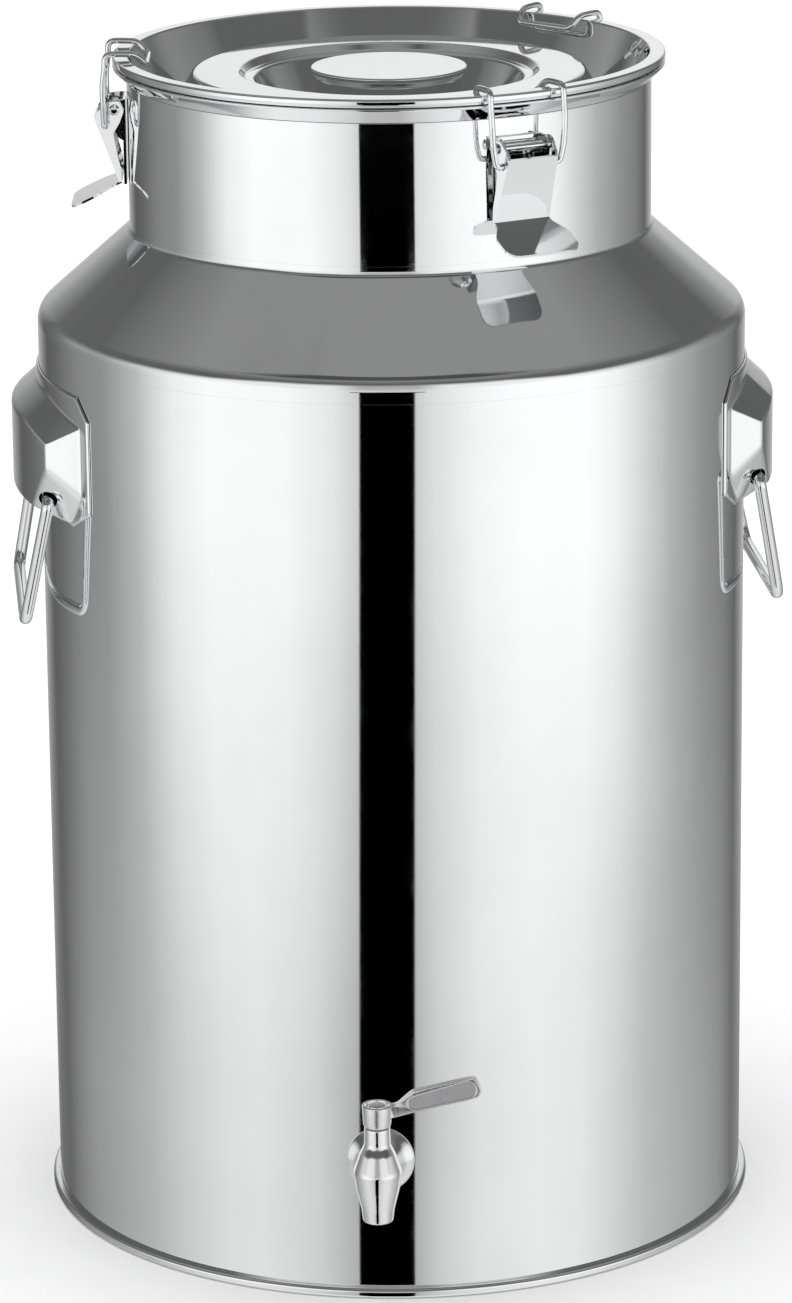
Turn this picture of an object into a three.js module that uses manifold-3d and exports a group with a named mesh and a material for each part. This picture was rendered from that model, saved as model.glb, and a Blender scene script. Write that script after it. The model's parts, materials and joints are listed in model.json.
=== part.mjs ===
// Stainless steel milk can with a clamped lid, two drop ring handles and a lever tap.
// Millimetres, +Z up. The origin is the centre of the underside of the base.
// An azimuth is measured about +Z from -Y, the front, and is positive towards +X.
import * as THREE from 'three';
import { mergeVertices } from 'three/addons/utils/BufferGeometryUtils.js';
import Module from 'manifold-3d';

const wasm = await Module();
wasm.setup();

// ---- driving dimensions ----
const TURNS = 40; // facets round every shell of the can
const SHEET = 1.2; // sheet thickness
const GAP = 0.3; // clearance between pieces that touch
const BODY_R = 175;
const BODY_TOP = 446.5;
const FOOT_R = 178.7;
const FOOT_H = 4.5;
const SHOULDER_BEND_R = 22;
const SHOULDER_SLOPE = 48.5; // degrees off the vertical
const SHOULDER_ROOT_R = 7; // the hollow bend where the shoulder turns up into the neck
const NECK_R = 128.5;
const NECK_BOTTOM = 500;
const FLARE_BOTTOM = 570.6;
const RIM_R = 135.3;
const RIM_TOP = 583;
const SEAT_Z = 578.3; // where the lid's skirt meets the flared mouth

const LATCH_AZIMUTHS = { front: 22.7, left: -95, back: 133 };
const LATCH_PIVOT = { out: 5.8, z: 557.3 }; // out is measured from the neck's surface
const LATCH_ARM = 9.2; // from the lever's pin to the bail's ends
const LATCH_ARM_ANGLE = 31; // outward of straight down
const LEVER_W = 28;
const LEVER_SHEET = 1.2;
const LEVER_TOP = { out: 15.3, z: 553.4 }; // the middle of the lever's web
const LEVER_BEND = { out: 3.4, z: 521.5 }; // where the finger tab turns out
const TAB_DROOP = 26; // degrees below level
const EAR_HALF_SPAN = 12.4; // outer faces of the ears
const BAIL_WIRE_R = 1.5;
const BAIL_BEND = 3.5;
const PIN_R = 2;
const BEARING_GAP = 0.35; // round the pins and wires that turn
const BASE_PLATE = { low: 520, high: 562, back: 0.35, face: 1.75 };

const HINGE_OUT = 174; // the handle's hinge line
const HINGE_Z = 378;
const HANDLE_WIRE_R = 3;
const HANDLE_DROP = 65;
const HANDLE_TOP_HALF = 69;
const HANDLE_BAR_HALF = 54;
const HANDLE_END_HALF = 58;
const HANDLE_REST_TILT = 11; // degrees that the ring leans outward at rest
const HANDLE_BEND = 7;

const TAP_AZIMUTH = -8.2;
const TAP_Z = 72.3;
const TAP_OUT = 203; // the spout's axis
const TAP_SHANK_R = 7.9;
const TAP_PLUG_R = 4.8;
const TAP_FLANGE_R = 16.5;
const TAP_BORE_R = 4.6; // the spout's outlet
const TAP_INLET_R = 4;
const TAP_PORT_R = 2.6;
const TAP_PORT_Z = TAP_Z + 2;
const SPOUT_LOW = 50.8;
const TAP_SEAT = 69;
const TAP_NECK_TOP = 98.8;
const HUB_LOW = 99.2;
const HUB_TOP = 110;

// ---- materials ----
const steel = (name, roughness, colour = 0xc9cbcd) =>
  new THREE.MeshStandardMaterial({ name, color: colour, roughness, metalness: 1 });
const mirrorSteel = steel('mirror_steel', 0.12);
const pressedSteel = steel('pressed_steel', 0.2);
const wireSteel = steel('wire_steel', 0.16);
const castSteel = steel('cast_steel', 0.25, 0xc4c5c6);
const silicone = new THREE.MeshStandardMaterial({
  name: 'silicone', color: 0xe4e4df, roughness: 0.6, metalness: 0 });

// ---- geometry helpers ----
const degrees = THREE.MathUtils.degToRad;

// A closed mesh with shared vertices, no empty triangles, and faces pointing out.
function closed(geometry) {
  const bare = geometry.clone();
  for (const name of Object.keys(bare.attributes)) {
    if (name !== 'position') bare.deleteAttribute(name);
  }
  const merged = mergeVertices(bare, 1e-4);
  const index = merged.index.array;
  const place = merged.attributes.position;
  const corner = (i) => new THREE.Vector3().fromBufferAttribute(place, i);
  const kept = [];
  let volume = 0;
  for (let i = 0; i < index.length; i += 3) {
    const [a, b, c] = [index[i], index[i + 1], index[i + 2]];
    if (a === b || b === c || c === a) continue;
    kept.push(a, b, c);
    volume += corner(a).dot(corner(b).cross(corner(c)));
  }
  merged.setIndex(volume < 0 ? kept.reverse() : kept);
  return merged;
}

function toSolid(geometry) {
  const mesh = closed(geometry);
  return new wasm.Manifold(new wasm.Mesh({
    numProp: 3,
    vertProperties: new Float32Array(mesh.attributes.position.array),
    triVerts: new Uint32Array(mesh.index.array),
  }));
}

function fromSolid(solid) {
  const mesh = solid.getMesh();
  const geometry = new THREE.BufferGeometry();
  geometry.setAttribute('position', new THREE.BufferAttribute(mesh.vertProperties, 3));
  geometry.setIndex(new THREE.BufferAttribute(mesh.triVerts, 1));
  return geometry;
}

const join = (...parts) => fromSolid(parts.map(toSolid).reduce((a, b) => a.add(b)));
const cut = (body, ...tools) =>
  fromSolid(tools.map(toSolid).reduce((a, b) => a.subtract(b), toSolid(body)));

// Turns an outline of [radius, height] points about +Z; the outline closes on itself.
function turned(outline, turns = TURNS) {
  const points = outline.map(([r, z]) => new THREE.Vector2(r, z));
  points.push(points[0].clone());
  return closed(new THREE.LatheGeometry(points, turns).rotateX(Math.PI / 2));
}

// Closes an open outline into a sheet of the given thickness, laid on its left-hand side.
function sheetOutline(line, thickness) {
  const points = line.map(([r, z]) => new THREE.Vector2(r, z));
  const sides = points.slice(1).map((p, i) => {
    const along = p.clone().sub(points[i]).normalize();
    return new THREE.Vector2(-along.y, along.x);
  });
  const inner = points.map((p, i) => {
    const before = sides[Math.max(i - 1, 0)];
    const after = sides[Math.min(i, sides.length - 1)];
    const bend = before.clone().add(after);
    const shift = bend.multiplyScalar(thickness / (1 + before.dot(after)));
    return [p.x + shift.x, p.y + shift.y];
  });
  return [...line, ...inner.reverse()];
}

// Points of an arc in the radius-height plane, angles in degrees from outward.
function arc(r, z, radius, from, to, steps) {
  return Array.from({ length: steps + 1 }, (_, i) => {
    const angle = degrees(from + ((to - from) * i) / steps);
    return [r + radius * Math.cos(angle), z + radius * Math.sin(angle)];
  });
}

function rod(radius, from, to, sides = 16) {
  const start = new THREE.Vector3(...from);
  const end = new THREE.Vector3(...to);
  const geometry = new THREE.CylinderGeometry(radius, radius, start.distanceTo(end), sides);
  const turn = new THREE.Quaternion().setFromUnitVectors(
    new THREE.Vector3(0, 1, 0), end.clone().sub(start).normalize());
  geometry.applyQuaternion(turn);
  const middle = start.add(end).multiplyScalar(0.5);
  return geometry.translate(middle.x, middle.y, middle.z);
}

// A round wire through the given points, with each corner rounded to the bend radius.
function wire(points, radius, bend, sides = 8) {
  const path = new THREE.CurvePath();
  const at = points.map((p) => new THREE.Vector3(...p));
  let last = at[0];
  for (let i = 1; i < at.length - 1; i += 1) {
    const back = at[i - 1].clone().sub(at[i]);
    const ahead = at[i + 1].clone().sub(at[i]);
    const reach = Math.min(bend, 0.48 * back.length(), 0.48 * ahead.length());
    const entry = at[i].clone().addScaledVector(back.normalize(), reach);
    const exit = at[i].clone().addScaledVector(ahead.normalize(), reach);
    path.add(new THREE.LineCurve3(last, entry));
    path.add(new THREE.QuadraticBezierCurve3(entry, at[i], exit));
    last = exit;
  }
  path.add(new THREE.LineCurve3(last, at[at.length - 1]));
  const section = new THREE.Shape(Array.from({ length: sides }, (_, i) => {
    const angle = (2 * Math.PI * i) / sides;
    return new THREE.Vector2(radius * Math.cos(angle), radius * Math.sin(angle));
  }));
  const steps = Math.round(path.getLength() / (3 * radius));
  return closed(new THREE.ExtrudeGeometry(section, { steps, extrudePath: path }));
}

// A flat blank in the outward-height plane, of the given width about the middle x.
function plate(outline, width, x = 0) {
  const shape = new THREE.Shape(outline.map(([out, z]) => new THREE.Vector2(out, z)));
  const geometry = new THREE.ExtrudeGeometry(shape, { depth: width, bevelEnabled: false });
  geometry.applyMatrix4(new THREE.Matrix4().set(
    0, 0, 1, x - width / 2,
    -1, 0, 0, 0,
    0, 1, 0, 0,
    0, 0, 0, 1));
  return closed(geometry);
}

const group = new THREE.Group();

function add(parent, name, geometry, material) {
  const mesh = new THREE.Mesh(closed(geometry), material);
  mesh.name = name;
  parent.add(mesh);
  return mesh;
}

// A group whose own -Y faces the given azimuth.
function facing(azimuth) {
  const turnedGroup = new THREE.Group();
  turnedGroup.rotation.z = degrees(azimuth);
  group.add(turnedGroup);
  return turnedGroup;
}

// ---- the can ----
function bodyWall() {
  const inner = BODY_R - SHEET;
  const wall = turned([[BODY_R, 0], [BODY_R, BODY_TOP], [inner, BODY_TOP], [inner, 0]]);
  const hole = rod(TAP_SHANK_R + 0.5, [0, -BODY_R - 10, TAP_Z], [0, -BODY_R + 10, TAP_Z], 24);
  return cut(wall, hole.rotateZ(degrees(TAP_AZIMUTH)));
}

function basePan() {
  const r = BODY_R - SHEET - GAP;
  return turned([[0, 0], [r - 2, 0], [r, 2], [r, 14], [r - SHEET, 14],
    [r - SHEET, 2.6], [r - 2.6, SHEET], [0, SHEET]]);
}

function footRing() {
  const r = BODY_R + GAP;
  return turned([[r, 0], [FOOT_R - 1.3, 0], [FOOT_R, 1.3], [FOOT_R, FOOT_H - 1.3],
    [FOOT_R - 1.3, FOOT_H], [r, FOOT_H]]);
}

function shoulder() {
  const bend = arc(BODY_R - SHOULDER_BEND_R, BODY_TOP + GAP, SHOULDER_BEND_R,
    0, SHOULDER_SLOPE, 4);
  const [r, z] = bend[bend.length - 1];
  const tuck = SHOULDER_ROOT_R * Math.tan(degrees(SHOULDER_SLOPE / 2));
  const coneTop = z + (r - NECK_R) / Math.tan(degrees(SHOULDER_SLOPE));
  const root = arc(NECK_R + SHOULDER_ROOT_R, coneTop + tuck, -SHOULDER_ROOT_R,
    SHOULDER_SLOPE, 0, 3);
  return turned(sheetOutline([...bend, ...root, [NECK_R, NECK_BOTTOM + 2]], SHEET));
}

function neck() {
  const inner = NECK_R - SHEET;
  const bottom = NECK_BOTTOM + 2 + GAP;
  return turned([[NECK_R, bottom], [NECK_R, FLARE_BOTTOM], [inner, FLARE_BOTTOM],
    [inner, bottom]]);
}

function mouthFlare() {
  const bottom = FLARE_BOTTOM + GAP;
  const inner = NECK_R - SHEET;
  return turned([[NECK_R, bottom], [RIM_R - 0.5, SEAT_Z - 1.4], [RIM_R, SEAT_Z - 0.6],
    [RIM_R, SEAT_Z], [RIM_R - 3.8, SEAT_Z], [inner, bottom + 2.6], [inner, bottom]]);
}

add(group, 'base_pan', basePan(), pressedSteel);
add(group, 'foot_ring', footRing(), mirrorSteel);
add(group, 'body_wall', bodyWall(), mirrorSteel);
add(group, 'shoulder', shoulder(), mirrorSteel);
add(group, 'neck', neck(), mirrorSteel);
add(group, 'mouth_flare', mouthFlare(), mirrorSteel);

// ---- the lid ----
const DISH_FLOOR = 550.2;

function lid() {
  const top = [[RIM_R, SEAT_Z + GAP], [RIM_R, RIM_TOP], [127.7, RIM_TOP], [120.4, 574.6],
    [117.2, 556.4], [115.6, 555.2], [108, 555.2], [97, 572.6], [94.5, 574], [75.5, 574],
    [71.6, 570.8], [66, 570.2], [58, DISH_FLOOR], [0, DISH_FLOOR]];
  return turned(sheetOutline(top, 1));
}

function knob() {
  const seat = DISH_FLOOR + GAP;
  return turned([[34.6, seat], [36, 560], [36, 570], [38.4, 572.8], [38.4, 574.6],
    [37.7, 575.3], [0, 575.3], [0, 574.2], [34.8, 574.2], [34.8, 560], [33.4, seat]], 32);
}

function gasket() {
  const low = SEAT_Z + GAP;
  const high = RIM_TOP - 1 - GAP;
  return turned([[129.6, low], [134, low], [134, high], [129.6, high]]);
}

add(group, 'lid', lid(), mirrorSteel);
add(group, 'lid_knob', knob(), mirrorSteel);
add(group, 'lid_gasket', gasket(), silicone);

// ---- the three toggle latches ----
// Places on a latch are [x along the rim, outward from the neck's surface, z].
const onNeck = ([x, out, z]) => [x, -(NECK_R + out), z];
const fromPivot = (length, angle) => [
  LATCH_PIVOT.out + length * Math.sin(degrees(angle)),
  LATCH_PIVOT.z - length * Math.cos(degrees(angle))];
const BAIL_END = fromPivot(LATCH_ARM, LATCH_ARM_ANGLE);

const neckPlate = (outline, width, x) =>
  plate(outline.map(([out, z]) => [NECK_R + out, z]), width, x);
const neckRod = (radius, half, [out, z]) =>
  rod(radius, onNeck([-half, out, z]), onNeck([half, out, z]));

function latchBase() {
  const { low, high, back, face } = BASE_PLATE;
  const backing = neckPlate([[back, low], [face, low], [face, high], [back, high]],
    2 * EAR_HALF_SPAN);
  const ear = [[back, 541], [4, 543], [8.4, 552.5], [9.6, 557], [8.6, 560.2], [5.8, 561.3],
    [back, high]];
  const thick = LEVER_SHEET;
  const side = EAR_HALF_SPAN - thick / 2;
  const base = join(backing, neckPlate(ear, thick, side), neckPlate(ear, thick, -side));
  return cut(base, neckRod(PIN_R + BEARING_GAP, LEVER_W, [LATCH_PIVOT.out, LATCH_PIVOT.z]));
}

// The finger tab flares out past the web and ends in broad round corners.
function fingerTab() {
  const right = [[14, -0.4], [14, 4.5], [16.5, 8], [19, 12], [19.7, 17], [18.8, 21.5],
    [16, 25], [11.5, 27]];
  const left = right.map(([x, along]) => [-x, along]).reverse();
  const shape = new THREE.Shape([...right, ...left].map((p) => new THREE.Vector2(...p)));
  const blank = new THREE.ExtrudeGeometry(shape, { depth: LEVER_SHEET, bevelEnabled: false });
  blank.translate(0, 0, -LEVER_SHEET / 2).scale(1, -1, -1).rotateX(degrees(TAB_DROOP));
  return blank.translate(0, -(NECK_R + LEVER_BEND.out), LEVER_BEND.z);
}

function latchLever() {
  const s = LEVER_SHEET;
  const top = new THREE.Vector2(LEVER_TOP.out, LEVER_TOP.z);
  const bend = new THREE.Vector2(LEVER_BEND.out, LEVER_BEND.z);
  const along = bend.clone().sub(top).normalize();
  const half = new THREE.Vector2(-along.y, along.x).multiplyScalar(s / 2);
  const web = [top.clone().add(half), bend.clone().add(half), bend.clone().sub(half),
    top.clone().sub(half)].map((p) => [p.x, p.y]);
  const cheek = [[15.6, 552.8], [15, 555], [10, 560], [5.8, 561.3], [2.6, 559.9],
    [1.7, 556.5], [2.8, 551.6], [6.2, 546], [5.4, 538], [3.4, 529], [2.9, 521.6], [4, 521.8]];
  const side = LEVER_W / 2 - s / 2;
  const shell = join(neckPlate(web, LEVER_W), fingerTab(), neckPlate(cheek, s, side),
    neckPlate(cheek, s, -side));
  return cut(shell,
    neckRod(PIN_R + BEARING_GAP, LEVER_W, [LATCH_PIVOT.out, LATCH_PIVOT.z]),
    neckRod(BAIL_WIRE_R + BEARING_GAP, LEVER_W, BAIL_END));
}

function latchBail() {
  const half = [
    [12.2, ...BAIL_END], [17, ...BAIL_END], [18.8, 10.8, 557], [19.6, 11, 570],
    [19.6, 9.8, 578], [19.5, 9.5, 585.4], [19.2, 2, 585.6], [18.6, -5.5, 585.2],
    [16.5, -10.5, 579.2]];
  const mirrored = half.map(([x, out, z]) => [-x, out, z]).reverse();
  return wire([...half, ...mirrored].map(onNeck), BAIL_WIRE_R, BAIL_BEND);
}

for (const [side, azimuth] of Object.entries(LATCH_AZIMUTHS)) {
  const latch = facing(azimuth);
  const pivot = [LATCH_PIVOT.out, LATCH_PIVOT.z];
  add(latch, `latch_base_${side}`, latchBase(), pressedSteel);
  add(latch, `latch_pin_${side}`, neckRod(PIN_R, LEVER_W / 2 + 0.4, pivot), wireSteel);
  add(latch, `latch_lever_${side}`, latchLever(), pressedSteel);
  add(latch, `latch_bail_${side}`, latchBail(), wireSteel);
}

// ---- the two drop handles ----
// The bracket is one sheet pressed into a box with slanting sides and bent to the body.
// Its depth is worked out on a grid of columns either side of the middle and of rows.
const BRACKET = { low: 364.5, high: 431, depth: 12.6, half: 87, back: 0.5 };
const BOX = { low: 366, high: 424.5, half: 80 }; // where the pressed box leaves the flange
const SLANT = { below: 6.5, above: 11.5, end: 12.5 }; // run of each side up to full depth
const CROWN = { from: 40, fall: 0.2 }; // the box's top edge falls away towards its ends
const FLANGE_CUT = { low: 68, rise: 0.5, high: 76 }; // the flange's own corners
const HINGE_HOLE = { r: HANDLE_WIRE_R + 1.4, from: 50, to: 80 };
const BRACKET_COLUMNS = [0, 14, 28, CROWN.from, 48, 55, 61, 67.5, 74, BOX.half, BRACKET.half];
const BRACKET_ROWS = [BRACKET.low, BOX.low, BOX.low + SLANT.below, 378, 383, 388, 394, 401,
  407.5, BOX.high - SLANT.above, BOX.high, BRACKET.high];
const BRACKET_CORNER = { s: 79.5, z: 380, slope: 51.6, width: 18 }; // the cut lower corners

function bracketDepth(s, z) {
  const side = Math.abs(s);
  const slant = degrees(BRACKET_CORNER.slope);
  const corner = (BRACKET_CORNER.s - side) * Math.sin(slant)
    + (z - BRACKET_CORNER.z) * Math.cos(slant);
  const top = BOX.high - CROWN.fall * Math.max(0, side - CROWN.from);
  const rise = Math.min((BOX.half - side) / SLANT.end, (z - BOX.low) / SLANT.below,
    (top - z) / SLANT.above, corner / BRACKET_CORNER.width);
  return BRACKET.depth * THREE.MathUtils.clamp(rise, 0, 1);
}

function bracket() {
  const columns = BRACKET_COLUMNS.length - 1;
  const rows = BRACKET_ROWS.length - 1;
  const blank = new THREE.BoxGeometry(2 * columns, rows, 1, 2 * columns, rows, 1);
  const place = blank.attributes.position;
  for (let i = 0; i < place.count; i += 1) {
    const column = Math.round(place.getX(i));
    const s = Math.sign(column) * BRACKET_COLUMNS[Math.abs(column)];
    const row = BRACKET_ROWS[Math.round(place.getY(i) + rows / 2)];
    const z = THREE.MathUtils.clamp(row,
      BRACKET.low + FLANGE_CUT.rise * Math.max(0, Math.abs(s) - FLANGE_CUT.low),
      BRACKET.high - Math.max(0, Math.abs(s) - FLANGE_CUT.high));
    const skin = place.getZ(i) > 0 ? SHEET : 0;
    const r = BODY_R + BRACKET.back + skin + bracketDepth(s, z);
    const angle = s / BODY_R;
    place.setXYZ(i, r * Math.sin(angle), -r * Math.cos(angle), z);
  }
  const hole = (side) => rod(HINGE_HOLE.r, [side * HINGE_HOLE.from, -HINGE_OUT, HINGE_Z],
    [side * HINGE_HOLE.to, -HINGE_OUT, HINGE_Z], 20);
  return cut(blank, hole(1), hole(-1));
}

function handleRing() {
  const lean = degrees(HANDLE_REST_TILT);
  const barOut = -(HINGE_OUT + HANDLE_DROP * Math.sin(lean));
  const barZ = HINGE_Z - HANDLE_DROP * Math.cos(lean);
  return wire([
    [HANDLE_END_HALF, -HINGE_OUT, HINGE_Z], [HANDLE_TOP_HALF, -HINGE_OUT, HINGE_Z],
    [HANDLE_BAR_HALF, barOut, barZ], [-HANDLE_BAR_HALF, barOut, barZ],
    [-HANDLE_TOP_HALF, -HINGE_OUT, HINGE_Z], [-HANDLE_END_HALF, -HINGE_OUT, HINGE_Z],
  ], HANDLE_WIRE_R, HANDLE_BEND);
}

for (const [side, azimuth] of [['right', 90], ['left', -90]]) {
  const handle = facing(azimuth);
  add(handle, `handle_bracket_${side}`, bracket(), pressedSteel);
  add(handle, `handle_ring_${side}`, handleRing(), wireSteel);
}

// ---- the tap ----
// Lengths along the shank are distances out from the can's axis.
function ring(inner, outer, from, to, turns = 20) {
  const shape = turned([[inner, from], [outer, from], [outer, to], [inner, to]], turns);
  return shape.rotateX(Math.PI / 2).translate(0, 0, TAP_Z);
}

function tapBody() {
  const spout = turned([[0, SPOUT_LOW], [7.3, SPOUT_LOW], [8, 57], [9.7, 64], [11.1, 71.5],
    [11.2, 77], [9.9, 82], [8, 86], [6.6, 89.5], [6.3, 94], [6.1, TAP_NECK_TOP],
    [0, TAP_NECK_TOP]], 24);
  spout.translate(0, -TAP_OUT, 0);
  const flange = turned([[0, 177.7], [TAP_FLANGE_R, 177.7], [TAP_FLANGE_R, 179],
    [14.7, 181.4], [10, 183.6], [9, 186], [9, TAP_OUT], [0, TAP_OUT]], 28);
  flange.rotateX(Math.PI / 2).translate(0, 0, TAP_Z);
  const shank = rod(TAP_SHANK_R, [0, -156, TAP_Z], [0, -TAP_OUT + 4, TAP_Z], 24);
  const outlet = rod(TAP_BORE_R, [0, -TAP_OUT, SPOUT_LOW - 2], [0, -TAP_OUT, TAP_SEAT + 1]);
  const chamber = rod(TAP_PLUG_R + GAP, [0, -TAP_OUT, TAP_SEAT],
    [0, -TAP_OUT, TAP_NECK_TOP + 2]);
  const inlet = rod(TAP_INLET_R, [0, -150, TAP_PORT_Z], [0, -TAP_OUT, TAP_PORT_Z]);
  return cut(join(spout, flange, shank), outlet, chamber, inlet);
}

function tapPlug() {
  const stem = turned([[0, TAP_SEAT + GAP], [TAP_PLUG_R, TAP_SEAT + GAP], [TAP_PLUG_R, 98.4],
    [3.2, 98.4], [3.2, 107], [0, 107]], 16);
  const port = rod(TAP_PORT_R, [-9, 0, TAP_PORT_Z], [0, 0, TAP_PORT_Z], 12);
  const down = rod(TAP_PORT_R, [0, 0, TAP_SEAT - 3], [0, 0, TAP_PORT_Z], 12);
  return cut(stem, port, down).translate(0, -TAP_OUT, 0);
}

function tapLever() {
  const hub = turned([[0, HUB_LOW], [6.4, HUB_LOW], [6.8, HUB_LOW + 1.8], [7.3, HUB_TOP],
    [0, HUB_TOP]], 24);
  const arm = new THREE.Shape();
  arm.moveTo(4, 103.2);
  arm.lineTo(9, 104.4);
  arm.lineTo(17.2, 106.7);
  arm.absarc(44, 118.6, 5.2, -1.33, 1.81, false);
  arm.lineTo(17.3, 116.6);
  arm.lineTo(10, 110.9);
  arm.lineTo(4, 109.4);
  const blade = new THREE.ExtrudeGeometry(arm, { depth: 4, bevelEnabled: false,
    curveSegments: 8 });
  blade.rotateX(Math.PI / 2).translate(0, 2, 0);
  const recess = turned([[4.6, HUB_TOP - 2], [5.8, HUB_TOP - 2], [5.8, HUB_TOP + 1],
    [4.6, HUB_TOP + 1]], 24);
  const socket = rod(3.5, [0, 0, HUB_LOW - 1], [0, 0, 107.4]);
  return cut(join(hub, blade), recess, socket).translate(0, -TAP_OUT, 0);
}

function tapNut() {
  const bore = TAP_SHANK_R + 0.4;
  return cut(ring(0, 13, 162.4, 168.2, 6), ring(0, bore, 160, 170));
}

const tap = facing(TAP_AZIMUTH);
add(tap, 'tap_body', tapBody(), castSteel);
add(tap, 'tap_plug', tapPlug(), castSteel);
add(tap, 'tap_lever', tapLever(), castSteel);
add(tap, 'tap_seal_outer', ring(TAP_SHANK_R + 0.4, 15.5, 175.35, 177.35), silicone);
add(tap, 'tap_seal_inner', ring(TAP_SHANK_R + 0.4, 13.5, 170.3, 172.3), silicone);
add(tap, 'tap_washer', ring(TAP_SHANK_R + 0.4, 14, 168.5, 170), pressedSteel);
add(tap, 'tap_nut', tapNut(), castSteel);

export default group;
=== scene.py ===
"""Looks of the stainless steel milk can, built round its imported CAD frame.

The scene is in metres, +Z up, -Y the front. Lengths below are in millimetres unless they say
otherwise, and MM takes them to metres.
"""
import json
import math

import bmesh
import bpy
from mathutils import Matrix, Vector


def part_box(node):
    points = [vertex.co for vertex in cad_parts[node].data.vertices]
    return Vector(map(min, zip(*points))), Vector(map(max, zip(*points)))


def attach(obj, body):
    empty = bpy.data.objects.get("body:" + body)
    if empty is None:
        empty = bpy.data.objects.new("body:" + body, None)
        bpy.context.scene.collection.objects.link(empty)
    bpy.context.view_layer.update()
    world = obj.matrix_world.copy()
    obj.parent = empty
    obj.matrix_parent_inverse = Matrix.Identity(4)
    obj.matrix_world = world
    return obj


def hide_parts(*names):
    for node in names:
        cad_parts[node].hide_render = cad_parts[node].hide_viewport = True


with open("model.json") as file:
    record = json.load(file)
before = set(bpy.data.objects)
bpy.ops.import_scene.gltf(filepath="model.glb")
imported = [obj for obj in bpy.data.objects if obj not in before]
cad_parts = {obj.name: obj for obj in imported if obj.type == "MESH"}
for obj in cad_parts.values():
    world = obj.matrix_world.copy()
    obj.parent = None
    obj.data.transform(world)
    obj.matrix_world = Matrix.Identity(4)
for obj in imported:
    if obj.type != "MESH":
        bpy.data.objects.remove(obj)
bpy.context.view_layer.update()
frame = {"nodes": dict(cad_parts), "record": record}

MM = 0.001
TINY = 1e-6

# ---- driving dimensions, read from the frame where a node's box gives them ----
BODY_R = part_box("body_wall")[1].x / MM
BODY_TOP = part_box("body_wall")[1].z / MM
FOOT_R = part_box("foot_ring")[1].x / MM
FOOT_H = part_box("foot_ring")[1].z / MM
NECK_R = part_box("neck")[1].x / MM
NECK_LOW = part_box("shoulder")[1].z / MM
FLARE_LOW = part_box("neck")[1].z / MM
SEAT_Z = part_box("mouth_flare")[1].z / MM
RIM_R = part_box("lid")[1].x / MM
RIM_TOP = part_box("lid")[1].z / MM
KNOB_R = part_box("lid_knob")[1].x / MM
KNOB_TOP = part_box("lid_knob")[1].z / MM
GAP = 0.3  # left between solids that touch
SKIN_GAP = 0.01  # between two pieces that read as one sheet
SHEET = 1.2
BODY_LOW = 0.2
PAN_H = 14
FOOT_IN = BODY_R + 0.05
SHOULDER_BEND_R = 22
SHOULDER_SLOPE = 48.5
SHOULDER_ROOT_R = 7
FLARE_START = FLARE_LOW + 0.12
SEAT_WIDTH = 3.8

DISH_FLOOR = 550.2
LID_SHEET = 1.0
CUP_IN = 34.6
CUP_OUT = 35.8
GASKET_IN = 129.6
GASKET_OUT = 134

LATCH_AZIMUTHS = {"front": 22.7, "left": -95, "back": 133}
LATCH_PIVOT = (5.8, 557.3)  # out from the neck, and height
LATCH_ARM = 9.2
LATCH_ARM_ANGLE = 31
LEVER_W = 28
LEVER_SHEET = 1.2
LEVER_TOP = (15.3, 553.4)
LEVER_BEND = (3.4, 521.5)
TAB_DROOP = 26
LEVER_TAPER = 0.011  # share of the width gained for each mm nearer the neck
LEVER_TRUE_OUT = 9.8  # where the lever has its stated width
TAB_FADE = 12  # the tab's extra width is gone this far out from the bend
EAR_HALF_SPAN = 12.4
PIN_R = 2
PIN_HEAD_R = 2.9
PIN_HEAD_H = 1.2
PIN_CLEAR = 0.5  # from the lever's cheek to the pin's head
BAIL_R = 1.5
BAIL_BEND_R = 3.5
HOLE_GAP = 0.3
HOLE_OVERSHOOT = 3

HINGE_OUT = 174
HINGE_Z = 378
RING_WIRE_R = 3
RING_DROP = 65
RING_TOP_HALF = 69
RING_BAR_HALF = 54
RING_END_HALF = 58
RING_REST_TILT = 11
RING_BEND_R = 8
HINGE_HOLE_R = RING_WIRE_R + 1.4
HINGE_HOLE_ENDS = (50, 80)

BRACKET_HALF = 87
BRACKET_LOW = 364.5
BRACKET_HIGH = 431
BRACKET_DEPTH = 12.6
BRACKET_BACK = 0.2
# The raised box of a handle's bracket: its half width, foot and top, and how wide each slope is.
BOX_HALF = 80
BOX_LOW = 366
BOX_HIGH = 424.5
BOX_SIDE_SLOPE = 12.5
BOX_LOW_SLOPE = 6.5
BOX_HIGH_SLOPE = 11.5
BOX_BLEND = 0.035
CROWN_BLEND = 0.03
CORNER_S = 79.5
CORNER_Z = 380
CORNER_SLOPE = math.radians(51.6)
CORNER_WIDTH = 18
EDGE_ROUND = 1.8

TAP_AZIMUTH = -8.2
TAP_Z = 72.3
TAP_OUT = 203
SHANK_R = 7.9
SHANK_ENDS = (156, 190)
BLADE_T = 4.2
POCKET_T = 1.6
POCKET_OUT = 2.3
INLAY_T = 0.3
INLAY_OUT = 1.62
INLAY_START = (18.2, 111.4)
INLAY_END = (43.4, 118.5)

# The camera, in metres and degrees.
PHOTO_AZIMUTH = -5.2
CAMERA_ELEVATION = 16.04
CAMERA_DISTANCE = 2.8283
CAMERA_TARGET_Z = 0.2767
CAMERA_ROLL = -0.571
CAMERA_LENS = 155.0
CAMERA_SHIFT = 0.001


def out_dir(azimuth):
    """The level direction that points out at an azimuth, 0 being the front and 90 the right."""
    a = math.radians(azimuth)
    return Vector((math.sin(a), -math.cos(a), 0))


def facing(azimuth):
    """Turns a piece whose own -Y looks outward to that azimuth."""
    return Matrix.Rotation(math.radians(azimuth), 4, "Z")


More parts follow.
